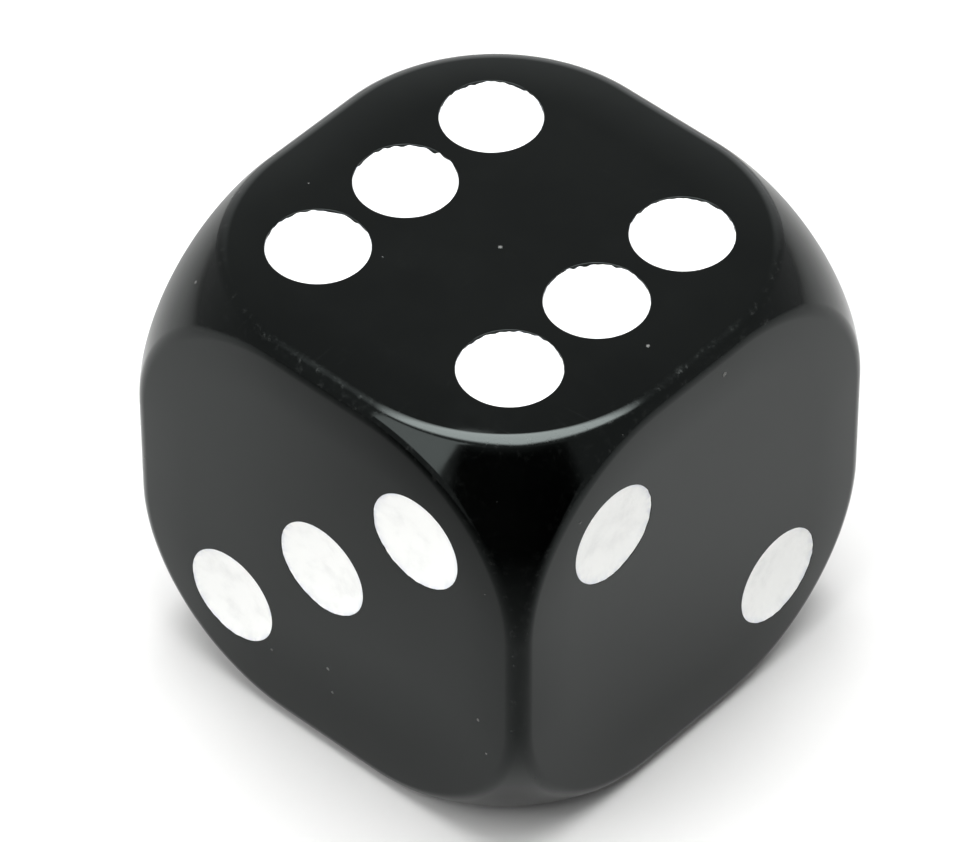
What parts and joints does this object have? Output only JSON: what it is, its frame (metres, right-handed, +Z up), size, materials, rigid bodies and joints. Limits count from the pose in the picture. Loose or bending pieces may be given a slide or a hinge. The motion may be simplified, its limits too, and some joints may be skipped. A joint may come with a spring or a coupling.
{
  "type": "gaming die",
  "caption": "Cube die with ball-rounded corners, softened edges and a dished, painted pip in every recess; rests on any face.",
  "frame": {"origin": "middle of the face the die rests on, the one", "axes": "+Z up through the six, -Y out of the three, +X out of the two"},
  "size_m": [0.016, 0.016, 0.016],
  "materials": {
    "block": "polished opaque black moulding",
    "pip_paint": "satin white enamel, dished where it dried"
  },
  "bodies": {
    "root": {"die_body": "block", "pip_six_front_left": "pip_paint", "pip_six_front_right": "pip_paint", "pip_six_back_left": "pip_paint", "pip_six_back_right": "pip_paint", "pip_six_middle_left": "pip_paint", "pip_six_middle_right": "pip_paint", "pip_five_lower_back": "pip_paint", "pip_five_lower_front": "pip_paint", "pip_five_upper_back": "pip_paint", "pip_five_upper_front": "pip_paint", "pip_five_centre": "pip_paint", "pip_four_lower_right": "pip_paint", "pip_four_lower_left": "pip_paint", "pip_four_upper_right": "pip_paint", "pip_four_upper_left": "pip_paint", "pip_three_lower_left": "pip_paint", "pip_three_centre": "pip_paint", "pip_three_upper_right": "pip_paint", "pip_two_upper_front": "pip_paint", "pip_two_lower_back": "pip_paint", "pip_one_centre": "pip_paint"}
  },
  "joints": []
}
